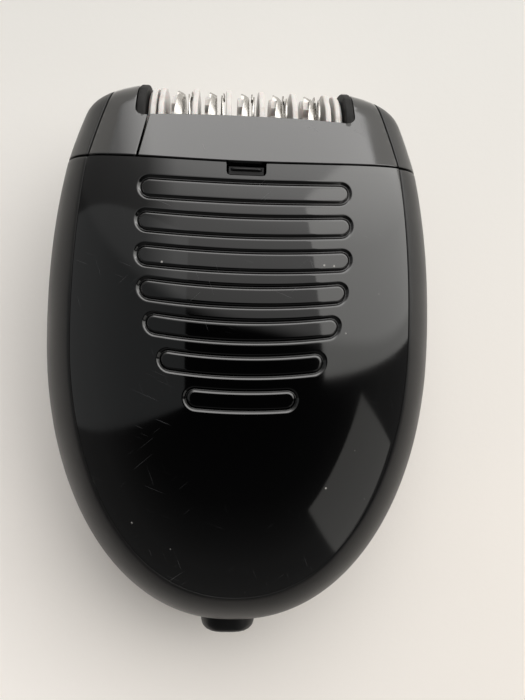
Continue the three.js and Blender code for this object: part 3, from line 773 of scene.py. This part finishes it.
def build_head_plates():
    """The glossy back plate with its separate left cap, and the front plate."""
    corner_x = gloss_corner(PANEL_GAP, SEAM_GAP)[0]
    split = 0.16  # half the gap between plate and cap
    plate = head_seam(CAP_FOOT_X + split, corner_x)[:-1] + cheek_arm(1) + [(CAP_TOP_X + split, LIP_Y)]
    height_panel("head_back_plate_fine", spaced(plate, 0.4), back_z, "gloss_black", "head",
                 ("head_back_plate",), spacing=0.7, wall=HEAD_WALL)
    cap = cheek_arm(-1) + [(CAP_TOP_X - split, LIP_Y)] + head_seam(CAP_FOOT_X - split, -corner_x)[:-1]
    height_panel("head_back_cap_fine", spaced(cap, 0.35), back_z, "gloss_black", "head",
                 ("head_back_cap",), spacing=0.6, wall=HEAD_WALL)
    front = head_seam(-corner_x, corner_x)[:-1] + cheek_arm(1) + cheek_arm(-1)[::-1][:-1]
    height_panel("head_front_plate_fine", spaced(front, 0.45), front_z, "gloss_black", "head",
                 ("head_front_plate",), spacing=0.9, wall=HEAD_WALL, faces_up=False)


def build_head_sides():
    """Satin sides of the head, from the seam round the crest's corner to the bearing cheek."""
    corner_y = gloss_corner(-PANEL_GAP, SEAM_GAP)[1]
    top_x = crest_corner(-PANEL_GAP, CREST_GAP)
    rise = np.linspace(corner_y, crest_line(top_x) + CREST_GAP, 30)
    inner = [(float(gloss_half(y)) + PANEL_GAP, y) for y in rise]
    inner += [(x, crest_line(x) + CREST_GAP) for x in np.linspace(top_x, CHEEK_X, 10)][1:]
    outer_y = outer_corner(SEAM_GAP)[1]
    turns = np.linspace(0, 1, 80) ** 0.6
    reach = CREST_Y - 0.01
    outer = [(float(half_width(y)), y) for y in outer_y + (reach - outer_y) * turns]
    past = [p for p in outer if p[0] > CHEEK_X]
    outer = past + [(CHEEK_X, past[-1][1])]
    count = 64
    inner = spaced(inner, 0.05, False)
    outer = spaced(outer, 0.05, False)
    pick = lambda line: line[np.linspace(0, len(line) - 1, count).astype(int)]
    inner, outer = pick(inner), pick(outer)
    for name, sign in (("left", -1), ("right", 1)):
        mirror = np.array([sign, 1])
        rows = band_points(inner * mirror, outer * mirror, 14)
        obj = piece(f"head_side_{name}_fine", np.vstack(rows).tolist(), grid_faces(len(rows), count),
                    "satin_black", "head", (f"head_side_{name}",))
        turn_outward(obj)
        thicken(obj, SIDE_WALL)


def turned(name, profile, start, end, slot, body, stands_for, steps, lobes=None):
    """A piece turned about the drum's axis. profile is a closed list of (x, radius)."""
    full = abs(end - start) >= 359.9
    count = steps if full else steps + 1
    turns = np.radians(np.linspace(start, end, steps + 1))[:count]
    points = []
    for turn in turns:
        for x, radius in profile:
            reach = radius if lobes is None else lobes(radius, turn)
            points.append((x, DRUM_Y + reach * math.sin(turn), MID_Z + reach * math.cos(turn)))
    size = len(profile)
    faces = []
    for r in range(count if full else count - 1):
        following = (r + 1) % count
        for c in range(size):
            after = (c + 1) % size
            faces.append((r * size + c, r * size + after, following * size + after, following * size + c))
    if not full:
        faces.append(tuple(range(size))[::-1])
        faces.append(tuple((count - 1) * size + c for c in range(size)))
    close_solid(piece(name, points, faces, slot, body, stands_for), 40)


def rounded_profile(x0, x1, inner, outer, edge=0.15, steps=3):
    """A closed ring section with rounded outer edges."""
    turns = np.linspace(0, math.pi / 2, steps + 1)
    left = [(x0 + edge * (1 - math.cos(t)), outer - edge * (1 - math.sin(t))) for t in turns]
    right = [(x1 - edge * (1 - math.cos(t)), outer - edge * (1 - math.sin(t))) for t in turns[::-1]]
    return left + right + [(x1, inner), (x0, inner)]


def build_bearing_cheeks():
    """Dark flanges beside the drum, a little wider than the bearings inside them."""
    for name in ("left", "right"):
        low, high = box_mm(f"bearing_cheek_{name}")
        if name == "left":
            low.x -= CHEEK_FLARE
        else:
            high.x += CHEEK_FLARE
        profile = rounded_profile(low.x, high.x, 1.85, (high.y - DRUM_Y) - 0.03, 0.3)
        turned(f"bearing_cheek_{name}_fine", profile, -17, 197, "inner_black", "head",
               (f"bearing_cheek_{name}",), steps=110)


# ---------------------------------------------------------------- disc drum
DISC_BORE = 5.0
WINDOWS = 8  # round each white disc
WINDOW_DEPTH = 0.25  # of the flats on a tall disc's edge
BLOCK_RISE = 1.1  # of a short disc's blocks above the gaps between them
PETALS = 6
PETAL_TURN = 0.60  # angle of the first petal's middle
PETAL_SPREAD = 0.80  # share of its sector that a petal fills
PETAL_SHEET = 0.22
HOOD_LEAN = -1.15  # sideways reach of a left disc's petal tips
SLANT_LEANS = (0.42, -0.3)  # and of a right disc's, in the left and right half of the drum


def build_carriers():
    """Tall white carrier discs: round, with a flat beside each of their eight windows."""
    def window(radius, turn):
        share = 0.5 + 0.5 * math.cos(WINDOWS * turn)
        return radius - WINDOW_DEPTH * share ** 3 if radius > DISC_BORE else radius

    for number in range(1, 7):
        low, high = box_mm(f"carrier_disc_{number}")
        profile = rounded_profile(low.x, high.x, DISC_BORE, (high.y - low.y) / 2 - 0.02, 0.2)
        turned(f"carrier_disc_{number}_fine", profile, 0, 360, "disc_white", "drum",
               (f"carrier_disc_{number}",), steps=128, lobes=window)


def build_spacers():
    """Short white spacer discs, each a hub with eight blocks."""
    def blocks(radius, turn):
        share = 0.5 + 0.5 * math.cos(WINDOWS * turn + math.pi)
        return radius - BLOCK_RISE * min(max((share - 0.45) * 5, 0), 1) if radius > DISC_BORE else radius

    for number in range(1, 6):
        low, high = box_mm(f"spacer_disc_{number}")
        profile = rounded_profile(low.x, high.x, DISC_BORE, (high.y - low.y) / 2 - 0.02, 0.12)
        turned(f"spacer_disc_{number}_fine", profile, 0, 360, "disc_white", "drum",
               (f"spacer_disc_{number}",), steps=192, lobes=blocks)


def build_end_caps():
    """The wide white rings at the drum's two ends, chamfered outwards."""
    for name, sign in (("left", -1), ("right", 1)):
        low, high = box_mm(f"end_cap_{name}")
        x0, x1 = (low.x, high.x) if sign > 0 else (high.x, low.x)
        outer = (high.y - low.y) / 2
        profile = [(x0, 1.9), (x0, outer - 0.15), (x0 + sign * 0.15, outer), (x0 + sign * 0.75, outer - 0.05),
                   (x1 - sign * 0.25, outer - 0.3), (x1, outer - 0.65), (x1, 1.9)]
        turned(f"end_cap_{name}_fine", profile, 0, 360, "disc_white", "drum", (f"end_cap_{name}",), steps=120)


def petal_bend(number, radius, side):
    """How far a petal leans sideways at a radius and at a side from -1 to 1, for the disc of a number."""
    twist = 0.5 - 0.5 * side
    if number % 2 == 1:
        hood = min(max((radius - 8.4) / 0.55, 0), 1) ** 1.2
        return HOOD_LEAN * hood * (0.35 + 0.65 * twist)
    slant = max(radius - 6.2, 0) / 2.8
    return SLANT_LEANS[0 if number < 6 else 1] * slant ** 1.5 * twist


def build_tweezers():
    """Stamped discs in pairs: the left one's petals hood the short block, the right one's lean away."""
    # rings from the bore to the tip, closer together where a petal bends
    radii = np.array([5.05, 5.8, 6.2, 6.8, 7.4, 8.0, 8.4, 8.6, 8.75, 8.88, 8.97, 9.04])
    across = 14
    per_disc = PETALS * (across + 1)
    for number in range(1, 11):
        low, high = box_mm(f"tweezer_disc_{number}")
        middle = (low.x + high.x) / 2
        points, faces = [], []
        for ring, radius in enumerate(radii):
            spread = 1.0 if radius < 6 else PETAL_SPREAD
            share = ring / (len(radii) - 1)
            for petal in range(PETALS):
                for side in np.linspace(-1, 1, across + 1):
                    turn = TAU / PETALS * (petal + 0.5 * spread * side) + PETAL_TURN
                    reach = radius - 1.6 * share ** 2 * abs(side) ** 6
                    points.append((middle + petal_bend(number, radius, side),
                                   DRUM_Y + reach * math.sin(turn), MID_Z + reach * math.cos(turn)))
        for ring in range(len(radii) - 1):
            for petal in range(PETALS):
                for k in range(across):
                    a = ring * per_disc + petal * (across + 1) + k
                    faces.append((a, a + 1, a + 1 + per_disc, a + per_disc))
        obj = piece(f"tweezer_disc_{number}_fine", points, faces, "tweezer_steel", "drum",
                    (f"tweezer_disc_{number}",))
        joined = bmesh.new()
        joined.from_mesh(obj.data)
        bmesh.ops.remove_doubles(joined, verts=joined.verts, dist=1e-6)
        joined.to_mesh(obj.data)
        joined.free()
        wall = obj.modifiers.new("wall", "SOLIDIFY")
        wall.thickness = PETAL_SHEET * MM
        wall.offset = 0
        apply_modifiers(obj)
        obj.data.shade_smooth()
        obj.data.set_sharp_from_angle(angle=math.radians(40))


# ---------------------------------------------------------------- inlet
def stadium_line(half_x, half_z, steps=10):
    """A stadium about the origin, in X and Z."""
    straight = half_x - half_z
    right = [(straight + half_z * math.cos(t), half_z * math.sin(t))
             for t in np.linspace(-math.pi / 2, math.pi / 2, steps + 1)]
    return right + [(-x, -z) for x, z in right]


def build_inlet():
    """The inlet's moulded collar: a stadium tube with a rounded nose and a socket inside."""
    centre_x = (inlet_low.x + inlet_high.x) / 2
    centre_z = (inlet_low.z + inlet_high.z) / 2
    half_x = (inlet_high.x - inlet_low.x) / 2
    half_z = (inlet_high.z - inlet_low.z) / 2
    tip, back, socket = inlet_low.y, inlet_high.y, -37.0
    nose = [(tip + 1.7, 0.0), (tip + 1.1, 0.06), (tip + 0.6, 0.22), (tip + 0.25, 0.45), (tip + 0.06, 0.7)]
    mouth = [(tip, 0.86), (tip + 0.08, 0.95), (tip + 0.3, 1.0)]
    stations = [(back, 0.0)] + nose + mouth + [(socket, 1.0), (socket, 2.3)]
    points = []
    for y, inset in stations:
        for x, z in stadium_line(half_x - inset, half_z - inset):
            points.append((centre_x + x, y, centre_z + z))
    columns = len(points) // len(stations)
    faces = grid_faces(len(stations), columns, True)
    faces.append(tuple(range(columns)))
    last = (len(stations) - 1) * columns
    faces.append(tuple(last + c for c in range(columns))[::-1])
    close_solid(piece("inlet_housing_fine", points, faces, "satin_black", "body", ("inlet_housing",)), 45)


# ---------------------------------------------------------------- release tab
def build_release_ridge():
    """The finger ridge that crosses the release tab."""
    half, middle, foot = 2.3, SEAM_Y - 0.95, box_mm("release_button")[1].z - 0.05
    rows, columns = 9, 13
    points = []
    for turn in np.linspace(0, math.pi, rows):
        for x in np.linspace(-half, half, columns):
            rise = 0.45 * math.sin(turn) * float(superellipse(x / half, 8))
            points.append((x, middle - 0.24 * math.cos(turn), foot + rise))
    faces = grid_faces(rows, columns)
    faces.append(tuple(range(columns)) + tuple((rows - 1) * columns + c for c in range(columns))[::-1])
    piece("release_ridge", points, faces, "satin_black", "release")


# ---------------------------------------------------------------- stage, light and camera
def floor_material():
    """A pale, slightly warm table top, with painted light that makes it lighter towards the near left."""
    nodes = Nodes("pale_floor_painted_light")
    split = nodes.add("ShaderNodeSeparateXYZ")
    nodes.link(nodes.place, split.inputs[0])
    # painted light: along and across set how far the colour is mixed lighter and warmer towards the near
    # left, standing in for brighter light falling there
    along = nodes.range(split.outputs["Y"], 0.075, -0.03, 0.0, 1.0)
    across = nodes.range(split.outputs["X"], 0.05, -0.05, 0.0, 1.0)
    cloud = nodes.noise(14, 3.0)
    near = nodes.mix(across, (0.86, 0.815, 0.765), (0.99, 0.945, 0.90))
    tint = nodes.mix(along, (0.735, 0.72, 0.69), near)
    nodes.link(nodes.mix(nodes.range(cloud, 0.4, 0.7, 0.0, 0.05), tint, (0.6, 0.57, 0.53)),
               nodes.shader.inputs["Base Color"])
    nodes.set(Roughness=0.6)
    nodes.bump(nodes.noise(900, 4.0), 0.15, 0.0001)
    return nodes.material


def build_floor():
    """The table top, a hair below the object."""
    mesh = bpy.data.meshes.new("floor")
    size = 1.2
    corners = [(-size, -size, 0), (size, -size, 0), (size, size, 0), (-size, size, 0)]
    mesh.from_pydata(corners, [], [(0, 1, 2, 3)])
    mesh.materials.append(floor_material())
    floor = bpy.data.objects.new("floor", mesh)
    floor.location.z = -0.00005
    bpy.context.scene.collection.objects.link(floor)


FRONT = (0.15, 0.97, 0.2)


def build_world():
    """A soft room: bright in front of the head, dim at the sides and dark overhead."""
    world = bpy.data.worlds.new("room")
    world.use_nodes = True
    tree = world.node_tree
    tree.nodes.clear()
    output = tree.nodes.new("ShaderNodeOutputWorld")
    background = tree.nodes.new("ShaderNodeBackground")
    place = tree.nodes.new("ShaderNodeTexCoord")

    def towards(direction, stops):
        """A grey ramp over the cosine of the angle to a direction."""
        dot = tree.nodes.new("ShaderNodeVectorMath")
        dot.operation = "DOT_PRODUCT"
        dot.inputs[1].default_value = Vector(direction).normalized()
        tree.links.new(place.outputs["Generated"], dot.inputs[0])
        half = tree.nodes.new("ShaderNodeMath")
        half.operation = "MULTIPLY_ADD"
        half.inputs[1].default_value = 0.5
        half.inputs[2].default_value = 0.5
        tree.links.new(dot.outputs["Value"], half.inputs[0])
        ramp = tree.nodes.new("ShaderNodeValToRGB")
        elements = ramp.color_ramp.elements
        while len(elements) < len(stops):
            elements.new(0.5)
        for element, (spot, value) in zip(elements, stops):
            element.position = 0.5 + 0.5 * spot
            element.color = (value, value, value, 1)
        tree.links.new(half.outputs[0], ramp.inputs[0])
        return ramp.outputs[0]

    front = towards(FRONT, ((-1, 0), (0.2, 0), (0.235, 0.2), (0.3, 0.24), (0.46, 0.34), (0.58, 0.62),
                            (0.78, 1), (1, 1)))
    left_dim = towards((-1, 0, 0), ((-1, 1), (0.3, 1), (0.5, 0.3), (1, 0.1)))
    overhead = towards((0, 0, 1), ((-1, 0.03), (0.0, 0.04), (0.5, 0.03), (0.8, 0.006), (1, 0.0)))
    shaded = tree.nodes.new("ShaderNodeMath")
    shaded.operation = "MULTIPLY"
    tree.links.new(front, shaded.inputs[0])
    tree.links.new(left_dim, shaded.inputs[1])
    total = tree.nodes.new("ShaderNodeMath")
    total.operation = "ADD"
    tree.links.new(shaded.outputs[0], total.inputs[0])
    tree.links.new(overhead, total.inputs[1])
    tint = tree.nodes.new("ShaderNodeCombineColor")
    for socket, share in zip(tint.inputs, (1.0, 0.985, 0.965)):
        scaled = tree.nodes.new("ShaderNodeMath")
        scaled.operation = "MULTIPLY"
        scaled.inputs[1].default_value = share
        tree.links.new(total.outputs[0], scaled.inputs[0])
        tree.links.new(scaled.outputs[0], socket)
    tree.links.new(tint.outputs[0], background.inputs[0])
    tree.links.new(background.outputs[0], output.inputs[0])
    background.inputs[1].default_value = 3.0
    bpy.context.scene.world = world


# the camera: place in millimetres, turn in degrees, lens in millimetres
CAMERA_PLACE = (-2.61, 3.11 + ORIGIN_Y, 121.2)
CAMERA_TURN = (-1.156, -3.53, 1.396)
CAMERA_LENS = 31.9


def build_camera():
    """A phone camera close above the back, near enough for strong perspective."""
    camera = bpy.data.cameras.new("camera")
    camera.lens = CAMERA_LENS
    camera.sensor_width = 36
    camera.clip_start = 0.005
    obj = bpy.data.objects.new("camera", camera)
    obj.location = Vector(CAMERA_PLACE) * MM
    obj.rotation_euler = Euler([math.radians(a) for a in CAMERA_TURN])
    bpy.context.scene.collection.objects.link(obj)
    bpy.context.scene.camera = obj


LIGHTS = (  # name, place, aim, size (all in metres), power in watts, colour
    ("window_strip", (0.30, 0.82, 0.55), (0, 0, 0.02), (1.1, 0.14), 1.2, (1.0, 0.99, 0.97)),
    ("window_left", (-0.84, 0.0, 0.53), (0, 0, 0), (0.72, 1.95), 0.86, (0.97, 1.0, 1.0)),
    ("window_right", (0.80, 0.24, 0.52), (0, 0, 0), (0.66, 1.36), 3.4, (1.0, 0.99, 0.95)),
    ("window_right_low", (0.80, -0.60, 0.52), (0, 0, 0), (0.66, 0.72), 0.72, (1.0, 0.98, 0.93)),
)


def build_lights():
    """The windows that the gloss mirrors: one past the head, one on the left and two on the right."""
    for name, place, aim, size, power, colour in LIGHTS:
        light = bpy.data.lights.new(name, "AREA")
        light.shape = "RECTANGLE"
        light.size, light.size_y = size
        light.energy = power
        light.color = colour
        obj = bpy.data.objects.new(name, light)
        obj.location = place
        obj.rotation_euler = (Vector(aim) - Vector(place)).to_track_quat("-Z", "Y").to_euler()
        bpy.context.scene.collection.objects.link(obj)


build_camera()
finish_cad_nodes()
build_back_cover()
build_front_cover()
build_rim()
build_head_plates()
build_head_sides()
build_bearing_cheeks()
build_carriers()
build_spacers()
build_end_caps()
build_tweezers()
build_inlet()
build_release_ridge()
build_floor()
build_world()
build_lights()
bpy.context.scene.view_settings.view_transform = "Standard"
